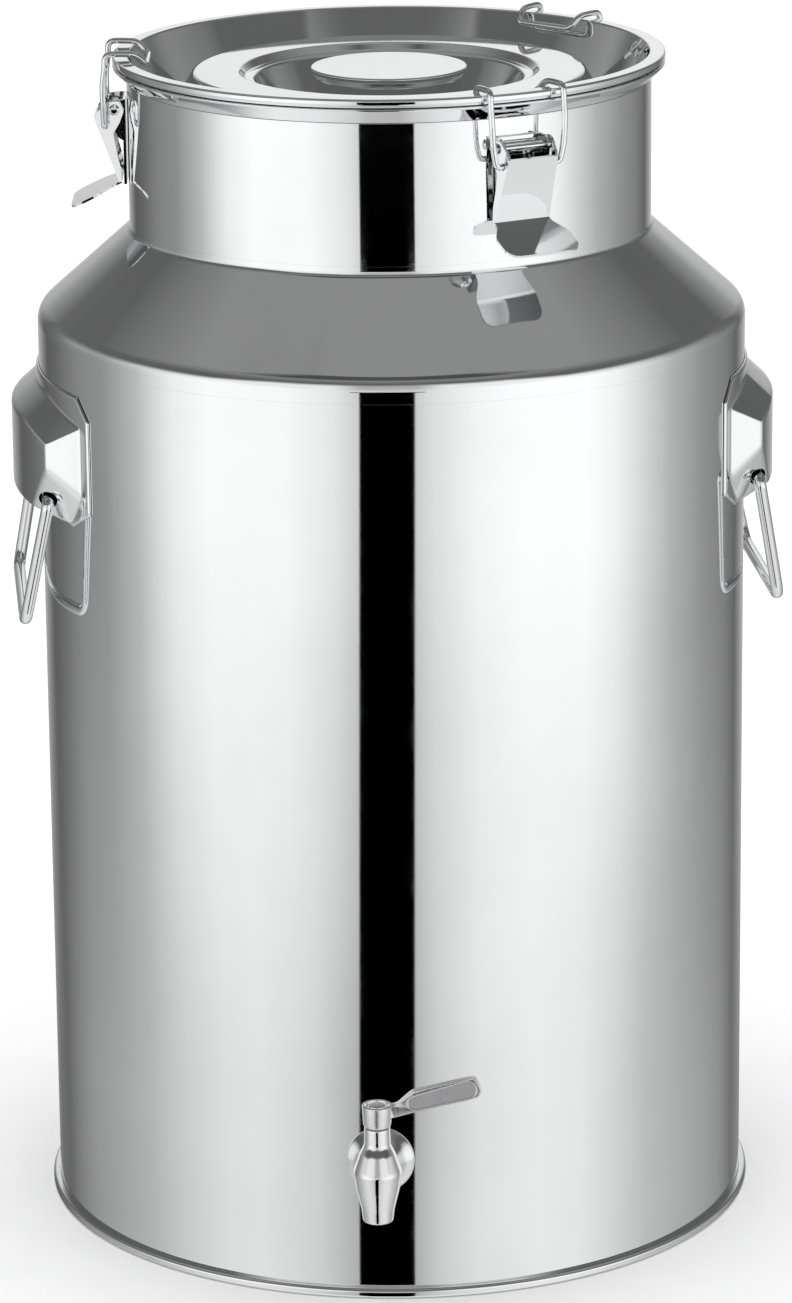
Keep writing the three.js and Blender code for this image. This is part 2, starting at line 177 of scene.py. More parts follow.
# ---- node helpers ----
def new_material(name):
    material = bpy.data.materials.new(name)
    material.use_nodes = True
    tree = material.node_tree
    tree.nodes.clear()
    return material, tree


def node(tree, kind, **values):
    made = tree.nodes.new(kind)
    for key, value in values.items():
        setattr(made, key, value)
    return made


def math_node(tree, operation, a, b=None, c=None, clamp=False):
    made = node(tree, "ShaderNodeMath", operation=operation, use_clamp=clamp)
    for slot, value in enumerate((a, b, c)):
        if value is None:
            continue
        if isinstance(value, (int, float)):
            made.inputs[slot].default_value = value
        else:
            tree.links.new(value, made.inputs[slot])
    return made.outputs[0]


def ramp(tree, factor, stops):
    """A straight ramp through (place, value) stops, each value a grey level or a colour."""
    made = node(tree, "ShaderNodeValToRGB")
    made.color_ramp.interpolation = "LINEAR"
    elements = made.color_ramp.elements
    while len(elements) < len(stops):
        elements.new(0.5)
    for element, (place, value) in zip(elements, stops):
        element.position = place
        colour = value if isinstance(value, tuple) else (value,) * 3
        element.color = (*colour, 1)
    tree.links.new(factor, made.inputs[0])
    return made.outputs[0]


def noise_node(tree, vector, scale, detail=2.0, roughness=0.5):
    made = node(tree, "ShaderNodeTexNoise")
    made.inputs["Scale"].default_value = scale
    made.inputs["Detail"].default_value = detail
    made.inputs["Roughness"].default_value = roughness
    tree.links.new(vector, made.inputs["Vector"])
    return made.outputs["Fac"]


def remap(tree, value, low, high, to_low, to_high):
    made = node(tree, "ShaderNodeMapRange")
    for slot, number in zip(("From Min", "From Max", "To Min", "To Max"),
                            (low, high, to_low, to_high)):
        made.inputs[slot].default_value = number
    tree.links.new(value, made.inputs["Value"])
    return made.outputs["Result"]


def bumped(tree, height, strength, distance):
    """The normal of a surface with that fine relief, its distance in metres."""
    made = node(tree, "ShaderNodeBump")
    made.inputs["Strength"].default_value = strength
    made.inputs["Distance"].default_value = distance
    tree.links.new(height, made.inputs["Height"])
    return made.outputs["Normal"]


def to_output(tree, shader, kind="ShaderNodeOutputMaterial"):
    output = node(tree, kind)
    tree.links.new(shader.outputs[0], output.inputs["Surface"])


# ---- materials ----
GRAIN_SCALE = 2600
CLOUD_SCALE = 9
SMUDGE_SCALE = 38
CLOUD_SHADE = 0.93
SMUDGE_ROUGH = 0.55
ROUND_STRETCH = 0.004  # metres of grain for each radian round the axis
LENGTH_STRETCH = 0.06


def steel(name, colour, roughness, grain="round", streak=0.25, ripple=0.02):
    """Polished stainless steel with fine polishing streaks, faint clouding and smudges.

    The streaks run round the axis when grain is "round", and else along Z.
    """
    material, tree = new_material(name)
    place = node(tree, "ShaderNodeTexCoord").outputs["Object"]
    if grain == "round":
        split = node(tree, "ShaderNodeSeparateXYZ")
        tree.links.new(place, split.inputs[0])
        x, y, z = split.outputs
        angle = math_node(tree, "ARCTAN2", y, x)
        radius = math_node(tree, "SQRT", math_node(
            tree, "ADD", math_node(tree, "MULTIPLY", x, x), math_node(tree, "MULTIPLY", y, y)))
        joined = node(tree, "ShaderNodeCombineXYZ")
        along = math_node(tree, "MULTIPLY", angle, ROUND_STRETCH)
        for slot, value in enumerate((along, radius, z)):
            tree.links.new(value, joined.inputs[slot])
        streak_place = joined.outputs[0]
    else:
        stretch = node(tree, "ShaderNodeMapping")
        stretch.inputs["Scale"].default_value = (1, 1, LENGTH_STRETCH)
        tree.links.new(place, stretch.inputs[0])
        streak_place = stretch.outputs[0]
    fine = noise_node(tree, streak_place, GRAIN_SCALE, 3, 0.65)
    cloud = noise_node(tree, place, CLOUD_SCALE, 4, 0.55)
    smudge = noise_node(tree, place, SMUDGE_SCALE, 3, 0.6)
    shade = node(tree, "ShaderNodeMix", data_type="RGBA")
    shade.inputs["A"].default_value = (*[c * CLOUD_SHADE for c in colour], 1)
    shade.inputs["B"].default_value = (*colour, 1)
    tree.links.new(remap(tree, cloud, 0.35, 0.65, 0.2, 1), shade.inputs["Factor"])
    rough = math_node(
        tree, "ADD",
        remap(tree, fine, 0.3, 0.7, roughness * (1 - streak), roughness * (1 + streak)),
        remap(tree, smudge, 0.52, 0.75, 0, roughness * SMUDGE_ROUGH))
    shader = node(tree, "ShaderNodeBsdfPrincipled")
    shader.inputs["Metallic"].default_value = 1
    tree.links.new(shade.outputs["Result"], shader.inputs["Base Color"])
    tree.links.new(rough, shader.inputs["Roughness"])
    tree.links.new(bumped(tree, fine, ripple, 0.0002), shader.inputs["Normal"])
    to_output(tree, shader)
    return material


def silicone():
    """Milky food-grade silicone with a satin skin and fine mottling."""
    material, tree = new_material("silicone")
    place = node(tree, "ShaderNodeTexCoord").outputs["Object"]
    mottle = noise_node(tree, place, 120, 4, 0.6)
    grain = noise_node(tree, place, 2400, 2, 0.5)
    shader = node(tree, "ShaderNodeBsdfPrincipled")
    colour = ramp(tree, mottle, [(0.35, (0.72, 0.72, 0.69)), (0.65, (0.84, 0.84, 0.81))])
    tree.links.new(colour, shader.inputs["Base Color"])
    tree.links.new(remap(tree, grain, 0.3, 0.7, 0.42, 0.58), shader.inputs["Roughness"])
    tree.links.new(bumped(tree, grain, 0.15, 0.0001), shader.inputs["Normal"])
    shader.inputs["Subsurface Weight"].default_value = 0.15
    shader.inputs["Subsurface Radius"].default_value = (0.002, 0.002, 0.0018)
    to_output(tree, shader)
    return material


MIRROR = steel("mirror_steel", (0.90, 0.905, 0.91), 0.034, ripple=0.012)
PRESSED = steel("pressed_steel", (0.87, 0.875, 0.88), 0.045, grain="length")
WIRE = steel("wire_steel", (0.88, 0.885, 0.89), 0.05, grain="length", streak=0.35)
CAST = steel("cast_steel", (0.86, 0.86, 0.865), 0.06, grain="length", ripple=0.04)
BRUSHED = steel("brushed_steel", (0.84, 0.84, 0.845), 0.27, grain="length", ripple=0.04)
SATIN = steel("satin_steel", (0.62, 0.60, 0.63), 0.5, grain="length", ripple=0.08)
SILICONE = silicone()
SLOT_MATERIALS = {"mirror_steel": MIRROR, "pressed_steel": PRESSED, "wire_steel": WIRE,
                  "cast_steel": CAST, "silicone": SILICONE}
NODE_SLOTS = {row["node"]: row["material_slot"] for row in frame["record"]["subparts"]}
NODE_BODIES = {name: body for body, names in frame["record"]["behaviour"]["bodies"].items()
               for name in names}


def finish_piece(name, mesh, cad_node, placed=None, replaces=True):
    """Makes the object, gives it its material and slot, and lets it ride on its node's body."""
    if placed is not None:
        mesh.transform(placed)
    piece = bpy.data.objects.new(name, mesh)
    bpy.context.scene.collection.objects.link(piece)
    mesh.materials.clear()
    mesh.materials.append(SLOT_MATERIALS[NODE_SLOTS[cad_node]])
    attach(piece, NODE_BODIES[cad_node])
    if replaces:
        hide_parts(cad_node)
    return piece


# ---- round shells ----
TURNS = 256  # faces round a large shell
MIN_BEND_R = 0.02
BEND_SHARE = 0.45  # of the shorter side, the most that one bend may use up


def rounded(points, steps=5, closed=False):
    """Samples (r, z, normal r, normal z) of an outline whose points are (r, z, corner radius).

    The material is on the left of the outline.
    """
    corners = [(Vector((p[0], p[1])), p[2] if len(p) > 2 else 0) for p in points]
    count = len(corners)
    samples = []

    def put(place, normal):
        samples.append((place.x, place.y, normal.x, normal.y))

    def side(a, b):
        along = (b - a).normalized()
        return Vector((along.y, -along.x))

    for i, (corner, radius) in enumerate(corners):
        has_before = closed or i > 0
        has_after = closed or i < count - 1
        if not has_before:
            put(corner, side(corner, corners[i + 1][0]))
            continue
        if not has_after:
            put(corner, side(corners[i - 1][0], corner))
            continue
        before, after = corners[i - 1][0], corners[(i + 1) % count][0]
        n_in, n_out = side(before, corner), side(corner, after)
        turn = math.atan2(n_in.x * n_out.y - n_in.y * n_out.x, n_in.dot(n_out))
        tangent = math.tan(abs(turn) / 2)
        room = BEND_SHARE * min((corner - before).length, (after - corner).length)
        radius = min(max(radius, MIN_BEND_R), room / max(tangent, TINY))
        way = 1 if turn > 0 else -1
        start = corner - (corner - before).normalized() * radius * tangent
        centre = start - n_in * radius * way
        for k in range(steps + 1):
            angle = turn * k / steps
            c, s = math.cos(angle), math.sin(angle)
            normal = Vector((n_in.x * c - n_in.y * s, n_in.x * s + n_in.y * c))
            put(centre + normal * radius * way, normal)
    return samples


def offset_line(points, thickness):
    """The outline moved to its left by the thickness, each corner keeping its bend."""
    places = [Vector(p[:2]) for p in points]
    lefts = []
    for a, b in zip(places, places[1:]):
        along = (b - a).normalized()
        lefts.append(Vector((-along.y, along.x)))
    moved = []
    for i, p in enumerate(places):
        first, last = lefts[max(i - 1, 0)], lefts[min(i, len(lefts) - 1)]
        shift = (first + last) * (thickness / (1 + first.dot(last)))
        moved.append((p.x + shift.x, p.y + shift.y, points[i][2] if len(points[i]) > 2 else 0))
    return moved


def shell(points, thickness):
    """A closed outline of a sheet whose outer face follows the points."""
    return points + offset_line(points, thickness)[::-1]


def turned_mesh(name, samples, turns=TURNS, closed=True):
    """Turns outline samples about Z into a mesh with its exact normals.

    A sample on the axis becomes one point.
    """
    verts, normals, faces, rings = [], [], [], []
    for r, z, nr, nz in samples:
        if r < TINY:
            rings.append([len(verts)] * turns)
            verts.append((0, 0, z * MM))
            normals.append((0, 0, math.copysign(1, nz)))
            continue
        rings.append(list(range(len(verts), len(verts) + turns)))
        for j in range(turns):
            a = 2 * math.pi * j / turns
            c, s = math.cos(a), math.sin(a)
            verts.append((r * c * MM, r * s * MM, z * MM))
            normals.append((nr * c, nr * s, nz))
    pairs = list(zip(rings, rings[1:])) + ([(rings[-1], rings[0])] if closed else [])
    for low, high in pairs:
        for j in range(turns):
            k = (j + 1) % turns
            corners = (low[j], low[k], high[k], high[j])
            face = tuple(dict.fromkeys(corners))
            if len(face) > 2:
                faces.append(face)
    mesh = bpy.data.meshes.new(name)
    mesh.from_pydata(verts, [], faces)
    mesh.shade_smooth()
    mesh.normals_split_custom_set_from_vertices(normals)
    return mesh


def closed_shell(name, cad_node, outline, steps=5):
    """A turned shell whose outline closes on itself, or starts and ends on the axis."""
    on_axis = outline[0][0] < TINY
    samples = rounded(outline, steps, closed=not on_axis)
    return finish_piece(name, turned_mesh(name, samples, closed=not on_axis), cad_node)


def shoulder_line():
    """The shoulder's outer line: a straight cone, a soft bend below and a tight one at the neck."""
    slope = math.radians(SHOULDER_SLOPE)
    reach = SHOULDER_BEND_R * math.tan(slope / 2)
    wall_end = BODY_TOP + GAP + reach
    cone_rise = (BODY_R - NECK_R) / math.tan(slope)
    return [(BODY_R, BODY_TOP + SKIN_GAP, 0), (BODY_R, wall_end, SHOULDER_BEND_R),
            (NECK_R, wall_end + cone_rise, SHOULDER_ROOT_R), (NECK_R, NECK_LOW, 0)]


def make_can():
    inner = BODY_R - SHEET
    closed_shell("can_body", "body_wall", [
        (BODY_R, BODY_LOW, 0.3), (BODY_R, BODY_TOP, 0), (inner, BODY_TOP, 0),
        (inner, BODY_LOW, 0.3)])
    pan = inner - GAP
    closed_shell("can_base_pan", "base_pan", [
        (0, 0, 0), (pan, 0, 2.4), (pan, PAN_H, 0.4), (pan - SHEET, PAN_H, 0.4),
        (pan - SHEET, SHEET, 1.4), (0, SHEET, 0)])
    closed_shell("can_foot_ring", "foot_ring", [
        (FOOT_IN, 0, 0.3), (FOOT_R, 0, 1.5), (FOOT_R, FOOT_H, 2.1), (FOOT_IN, FOOT_H, 0.2)])
    closed_shell("can_shoulder", "shoulder", shell(shoulder_line(), SHEET), steps=24)
    neck_in = NECK_R - SHEET
    closed_shell("can_neck", "neck", [
        (NECK_R, NECK_LOW + SKIN_GAP, 0), (NECK_R, FLARE_LOW, 0.3), (neck_in, FLARE_LOW, 0.2),
        (neck_in, NECK_LOW + SKIN_GAP, 0)])
    closed_shell("can_mouth", "mouth_flare", [
        (NECK_R + 0.02, FLARE_START, 0.3), (RIM_R, SEAT_Z - 1, 1.2), (RIM_R, SEAT_Z, 0.4),
        (RIM_R - SEAT_WIDTH, SEAT_Z, 0.5), (neck_in, FLARE_LOW + 3, 2),
        (neck_in, FLARE_START, 0.2)])


BEAD_HALF = 1.2
BEAD_RISE = 0.16
BEAD_RIPPLE = 1.9
BEAD_ROW = 0.9
BEAD_COLUMNS = 8
BEAD_END = 2
BEAD_SINK = 0.02


def seam_strip(name, cad_node, azimuth, radius, low, high):
    """A ground-down weld bead along the sheet's joint, with small ripples and faded ends."""
    rows, columns = int((high - low) / BEAD_ROW), BEAD_COLUMNS
    verts, faces = [], []
    for i in range(rows + 1):
        z = low + (high - low) * i / rows
        ends = min(1, (z - low) / BEAD_END, (high - z) / BEAD_END)
        for j in range(columns + 1):
            t = 2 * j / columns - 1
            wave = 0.75 + 0.25 * math.cos(2 * math.pi * (z / BEAD_RIPPLE - 0.35 * t * t))
            rise = BEAD_RISE * (1 - t * t) * wave * ends - BEAD_SINK * (abs(t) > 0.99)
            a = math.radians(azimuth) + t * BEAD_HALF / radius
            r = (radius + rise) * MM
            verts.append((r * math.sin(a), -r * math.cos(a), z * MM))
    for i in range(rows):
        for j in range(columns):
            a = i * (columns + 1) + j
            faces.append((a, a + 1, a + columns + 2, a + columns + 1))
    mesh = bpy.data.meshes.new(name)
    mesh.from_pydata(verts, [], faces)
    mesh.shade_smooth()
    return finish_piece(name, mesh, cad_node, replaces=False)


# The lid's upper face from the rim's hanging edge to the axis: rim, gutter, ring, step and dish.
LID_LINE = [
    (RIM_R - 1.5, SEAT_Z + GAP, 0.2), (RIM_R, SEAT_Z + 1.9, 1.2), (RIM_R, RIM_TOP, 2.2),
    (127.7, RIM_TOP, 1.2), (117.4, 555.6, 2.6), (107.6, 555.2, 2.6), (96, 574, 2.8),
    (73.6, 574, 2.6), (70.4, 570.6, 1.6), (66, 570.4, 1.8), (58, DISH_FLOOR, 2.6),
    (0, DISH_FLOOR, 0)]
LID_STEPS = 7


def make_lid():
    under = offset_line(LID_LINE, LID_SHEET)
    closed_shell("lid_pressing", "lid", [(0, under[-1][1], 0)] + under[-2::-1] + LID_LINE,
                 steps=LID_STEPS)
    seat, ceiling = DISH_FLOOR + 0.05, KNOB_TOP - 1.1
    closed_shell("lid_knob_cup", "lid_knob", [
        (0, ceiling, 0), (CUP_IN, ceiling, 0.8), (CUP_IN, 560, 2), (33.2, seat, 0.3),
        (34.4, seat, 0.5), (CUP_OUT, 560, 3), (CUP_OUT, 570.6, 2), (KNOB_R, 572.9, 0.6),
        (KNOB_R, KNOB_TOP, 1.0), (0, KNOB_TOP, 0)], steps=LID_STEPS)
    low, high = SEAT_Z + GAP, RIM_TOP - LID_SHEET - GAP
    closed_shell("lid_gasket_ring", "lid_gasket", [
        (GASKET_IN, low, 0.8), (GASKET_OUT, low, 0.8), (GASKET_OUT, high, 0.8),
        (GASKET_IN, high, 0.8)])


# ---- wires ----
BEND_STEPS = 12
WIRE_BEND_SHARE = 0.48
WIRE_DOME = [(0.0, 0.45), (0.10, 0.72), (0.22, 0.90), (0.42, 1.0)]  # (along, width) in radii


def bent_path(points, bend, spacing):
    """Points along straight runs joined by soft bends."""
    at = [Vector(p) for p in points]
    path = [at[0]]
    for before, corner, after in zip(at, at[1:], at[2:]):
        back, ahead = (before - corner), (after - corner)
        reach = min(bend, WIRE_BEND_SHARE * back.length, WIRE_BEND_SHARE * ahead.length)
        start = corner + back.normalized() * reach
        end = corner + ahead.normalized() * reach
        for k in range(BEND_STEPS + 1):
            t = k / BEND_STEPS
            path.append(start * (1 - t) ** 2 + corner * 2 * t * (1 - t) + end * t * t)
    path.append(at[-1])
    spaced = [path[0]]
    for a, b in zip(path, path[1:]):
        pieces = max(1, int((b - a).length / spacing))
        spaced += [a.lerp(b, k / pieces) for k in range(1, pieces + 1)]
    return spaced


def swept_mesh(name, path, radius, sides=24):
    """A round wire along the path, with slightly domed ends."""
    tangents = [(path[min(i + 1, len(path) - 1)] - path[max(i - 1, 0)]).normalized()
                for i in range(len(path))]
    up = tangents[0].orthogonal().normalized()
    rings = []
    for i, (p, t) in enumerate(zip(path, tangents)):
        up = (up - t * up.dot(t)).normalized()
        rings.append((p, up.copy(), t.cross(up)))
    stack = []
    for along, width in WIRE_DOME:
        stack.append((rings[0][0] + tangents[0] * along * radius, rings[0], width))
    for ring in rings[1:-1]:
        stack.append((ring[0], ring, 1.0))
    for along, width in reversed(WIRE_DOME):
        stack.append((rings[-1][0] - tangents[-1] * along * radius, rings[-1], width))
    verts, faces = [], []
    for centre, (_, u, v), width in stack:
        for j in range(sides):
            a = 2 * math.pi * j / sides
            verts.append((centre + (u * math.cos(a) + v * math.sin(a)) * radius * width) * MM)
    for i in range(len(stack) - 1):
        for j in range(sides):
            k = (j + 1) % sides
            faces.append((i * sides + j, i * sides + k, (i + 1) * sides + k, (i + 1) * sides + j))
    faces.append(tuple(range(sides - 1, -1, -1)))
    faces.append(tuple(range((len(stack) - 1) * sides, len(stack) * sides)))
    mesh = bpy.data.meshes.new(name)
    mesh.from_pydata(verts, [], faces)
    mesh.shade_smooth()
    return mesh


# ---- flat blanks and cuts, for pressed plates ----
def prism(outline, low, high):
    """A closed block: an outline of (out, z) swept along x from low to high, in millimetres."""
    made = bmesh.new()
    first = [made.verts.new((low * MM, -out * MM, z * MM)) for out, z in outline]
    last = [made.verts.new((high * MM, -out * MM, z * MM)) for out, z in outline]
    made.faces.new(first)
    made.faces.new(last[::-1])
    for i in range(len(outline)):
        j = (i + 1) % len(outline)
        made.faces.new((first[j], first[i], last[i], last[j]))
    bmesh.ops.recalc_face_normals(made, faces=made.faces)
    mesh = bpy.data.meshes.new("blank")
    made.to_mesh(mesh)
    made.free()
    return mesh


def bar(start, end, radius, sides=40):
    """A closed round bar between two points in millimetres."""
    a, b = Vector(start), Vector(end)
    mesh = bpy.data.meshes.new("bar")
    made = bmesh.new()
    bmesh.ops.create_cone(made, cap_ends=True, segments=sides, radius1=radius * MM,
                          radius2=radius * MM, depth=(b - a).length * MM)
    turn = Vector((0, 0, 1)).rotation_difference((b - a).normalized()).to_matrix().to_4x4()
    made.transform(Matrix.Translation((a + b) * 0.5 * MM) @ turn)
    made.to_mesh(mesh)
    made.free()
    return mesh


def evaluated(work):
    """The object's mesh after its modifiers; the object is removed."""
    view = bpy.context.evaluated_depsgraph_get()
    mesh = bpy.data.meshes.new_from_object(work.evaluated_get(view))
    bpy.data.objects.remove(work)
    return mesh


def boolean(mesh, operation, *tools):
    """Joins, cuts or intersects closed meshes."""
    work = bpy.data.objects.new("work", mesh)
    bpy.context.scene.collection.objects.link(work)
    helpers = []
    for tool in tools:
        helper = bpy.data.objects.new("tool", tool)
        bpy.context.scene.collection.objects.link(helper)
        helpers.append(helper)
        change = work.modifiers.new("cut", "BOOLEAN")
        change.operation = operation
        change.solver = "EXACT"
        change.object = helper
    bpy.context.view_layer.update()
    made = evaluated(work)
    for helper in helpers:
        bpy.data.objects.remove(helper)
    return made


def eased(mesh, width, angle=30):
    """Rounds the sharp edges of a pressed or machined piece, and keeps its faces shading flat."""
    work = bpy.data.objects.new("work", mesh)
    bpy.context.scene.collection.objects.link(work)
    bevel = work.modifiers.new("ease", "BEVEL")
    bevel.width = width * MM
    bevel.segments = 3
    bevel.limit_method = "ANGLE"
    bevel.angle_limit = math.radians(angle)
    flats = work.modifiers.new("flats", "WEIGHTED_NORMAL")
    flats.mode = "FACE_AREA"
    flats.weight = 100
    mesh.shade_smooth()
    bpy.context.view_layer.update()
    return evaluated(work)


def strip(line, thickness):
    """The closed outline of a flat strip: its middle line, given a thickness."""
    middle = rounded(line)
    left = [(r - nr * thickness / 2, z - nz * thickness / 2) for r, z, nr, nz in middle]
    right = [(r + nr * thickness / 2, z + nz * thickness / 2) for r, z, nr, nz in middle]
    return left + right[::-1]


def round_outline(points, steps):
    """A closed outline of (x, y, corner radius) points as plain (x, y) samples."""
    return [(s[0], s[1]) for s in rounded(points, steps, closed=True)]


def smooth_outline(points, radius):
    """A closed outline of (x, y) points with all its corners rounded alike."""
    return round_outline([(*p, radius) for p in points], 4)


# ---- latches ----
# Outlines of (out from the neck, height). The tab's right half is (x, along, corner radius), and
# the bail's right half, after the end that sits in the lever, is (x, out from the neck, height).
LATCH_BACKING = [(0.35, 520), (1.75, 520), (1.75, 562), (0.35, 562)]
LATCH_EAR = [(0.4, 541), (4, 543), (8.6, 552.5), (9.8, 558), (7.2, 561.5), (0.4, 562)]
LEVER_CHEEK = [(15.4, 553.0), (14.6, 555.6), (9, 561), (3.4, 561.5), (1.2, 556.5), (3.2, 551),
               (6.4, 545.6), (5.2, 537), (3.2, 529), (2.8, 521.6), (4, 521.8)]
TAB_RIGHT = [(14, -0.4, 0.01), (14, 3.5, 6), (19.7, 12.5, 9), (19.7, 27, 9.5)]
BAIL_END_X = (12.4, 17)
BAIL_RIGHT = [(18.8, 10.8, 557), (19.6, 11, 570), (19.6, 9.8, 578), (19.5, 9.5, 585.4),
              (19.2, 2, 585.6), (18.6, -5.5, 585.2), (16.5, -10.5, 579.2)]


def on_neck(points):
    """Moves (out, height) points from the neck's skin to the can's axis."""
    return [(NECK_R + out, z) for out, z in points]


def bail_end():
    """Where the bail's ends sit in the lever, as (out from the neck, height)."""
    angle = math.radians(LATCH_ARM_ANGLE)
    return (LATCH_PIVOT[0] + LATCH_ARM * math.sin(angle),
            LATCH_PIVOT[1] - LATCH_ARM * math.cos(angle))


def hole_bar(radius, half, place):
    """A round bar that cuts a hole through a latch piece of that half width, with room to spare."""
    out, z = place
    reach = half + HOLE_OVERSHOOT
    return bar((-reach, -(NECK_R + out), z), (reach, -(NECK_R + out), z), radius + HOLE_GAP)


def latch_base_mesh():
    half = EAR_HALF_SPAN
    backing = prism(smooth_outline(on_neck(LATCH_BACKING), 0.3), -half, half)
    ear = smooth_outline(on_neck(LATCH_EAR), 2.5)
    mesh = boolean(backing, "UNION", prism(ear, half - LEVER_SHEET, half),
                   prism(ear, -half, LEVER_SHEET - half))
    mesh = boolean(mesh, "DIFFERENCE", hole_bar(PIN_R, half, LATCH_PIVOT))
    return eased(mesh, 0.28)


def finger_tab():
    """The flared thumb tab at the foot of the lever, with broad round corners."""
    left = [(-x, along, radius) for x, along, radius in reversed(TAB_RIGHT)]
    outline = round_outline(TAB_RIGHT + left, 10)
    droop = math.radians(TAB_DROOP)
    out, up = math.cos(droop), -math.sin(droop)
    made = bmesh.new()
    layers = []
    for side in (-0.5, 0.5):
        rise = side * LEVER_SHEET
        layers.append([made.verts.new((
            x * MM,
            -(NECK_R + LEVER_BEND[0] + along * out - rise * up) * MM,
            (LEVER_BEND[1] + along * up + rise * out) * MM)) for x, along in outline])
    made.faces.new(layers[0])
    made.faces.new(layers[1][::-1])
    for i in range(len(outline)):
        j = (i + 1) % len(outline)
        made.faces.new((layers[0][j], layers[0][i], layers[1][i], layers[1][j]))
    bmesh.ops.recalc_face_normals(made, faces=made.faces)
    mesh = bpy.data.meshes.new("tab")
    made.to_mesh(mesh)
    made.free()
    return mesh


def taper_lever(mesh):
    """Draws the cheeks in towards the outer edge, and widens the tab's root to meet them."""
    for vertex in mesh.vertices:
        out = -vertex.co.y / MM - NECK_R
        wide = LEVER_TRUE_OUT - out
        if vertex.co.z / MM < LEVER_BEND[1]:
            share = 1 - (out - LEVER_BEND[0]) / TAB_FADE
            wide = (LEVER_TRUE_OUT - LEVER_BEND[0]) * max(0, min(share, 1))
        vertex.co.x *= 1 + LEVER_TAPER * wide
    return mesh


def latch_lever_mesh():
    half = LEVER_W / 2
    blade = prism(strip(on_neck([LEVER_TOP, LEVER_BEND]), LEVER_SHEET), -half, half)
    cheek = smooth_outline(on_neck(LEVER_CHEEK), 1.4)
    mesh = boolean(blade, "UNION", finger_tab(), prism(cheek, half - LEVER_SHEET, half),
                   prism(cheek, -half, LEVER_SHEET - half))
    mesh = boolean(mesh, "DIFFERENCE", hole_bar(PIN_R, half, LATCH_PIVOT),
                   hole_bar(BAIL_R, half, bail_end()))
    return eased(taper_lever(mesh), 0.3)


def latch_pin_mesh():
    """A rivet pin with low domed heads outside the lever's cheeks."""
    half = LEVER_W / 2 * (1 + LEVER_TAPER * (LEVER_TRUE_OUT - LATCH_PIVOT[0])) + PIN_CLEAR
    top = [(PIN_R, half, 0.1), (PIN_HEAD_R, half, 0.25), (1.7, half + PIN_HEAD_H - 0.05, 0.7),
           (0, half + PIN_HEAD_H, 0)]
    foot = [(r, -z, bend) for r, z, bend in reversed(top)]
    mesh = turned_mesh("pin", rounded(foot + top, 4), 40, closed=False)
    out, z = LATCH_PIVOT
    mesh.transform(Matrix.Translation((0, -(NECK_R + out) * MM, z * MM))
                   @ Matrix.Rotation(math.pi / 2, 4, "Y"))
    return mesh


def latch_bail_mesh():
    half = [(x, *bail_end()) for x in BAIL_END_X] + BAIL_RIGHT
    whole = half + [(-x, out, z) for x, out, z in reversed(half)]
    path = bent_path([(x, -(NECK_R + out), z) for x, out, z in whole], BAIL_BEND_R, 0.8)
    return swept_mesh("bail", path, BAIL_R)


def make_latches():
    for side, azimuth in LATCH_AZIMUTHS.items():
        placed = facing(azimuth)
        finish_piece(f"latch_plate_{side}", latch_base_mesh(), f"latch_base_{side}", placed)
        finish_piece(f"latch_rivet_{side}", latch_pin_mesh(), f"latch_pin_{side}", placed)
        finish_piece(f"latch_handle_{side}", latch_lever_mesh(), f"latch_lever_{side}", placed)
        finish_piece(f"latch_wire_{side}", latch_bail_mesh(), f"latch_bail_{side}", placed)


# ---- drop handles ----
def soft_min(values, blend):
    """The least of the values, with the creases between them rounded by the blend."""
    low = min(values)
    return low - blend * math.log(sum(math.exp((low - v) / blend) for v in values))


def bracket_depth(s, z):
    """How far the pressed box stands out at a place round the wall and a height."""
    side = abs(s)
    upper = BOX_HIGH - 0.2 * max(0, side - 40)
    corner = (CORNER_S - side) * math.sin(CORNER_SLOPE) + (z - CORNER_Z) * math.cos(CORNER_SLOPE)
    rise = soft_min([(BOX_HALF - side) / BOX_SIDE_SLOPE, (z - BOX_LOW) / BOX_LOW_SLOPE,
                     (upper - z) / BOX_HIGH_SLOPE, corner / CORNER_WIDTH], BOX_BLEND)
    if rise <= 0:
        return 0
    top = 1 - CROWN_BLEND * math.log(1 + math.exp((1 - rise) / CROWN_BLEND))
    return BRACKET_DEPTH * max(0, min(top, 1))


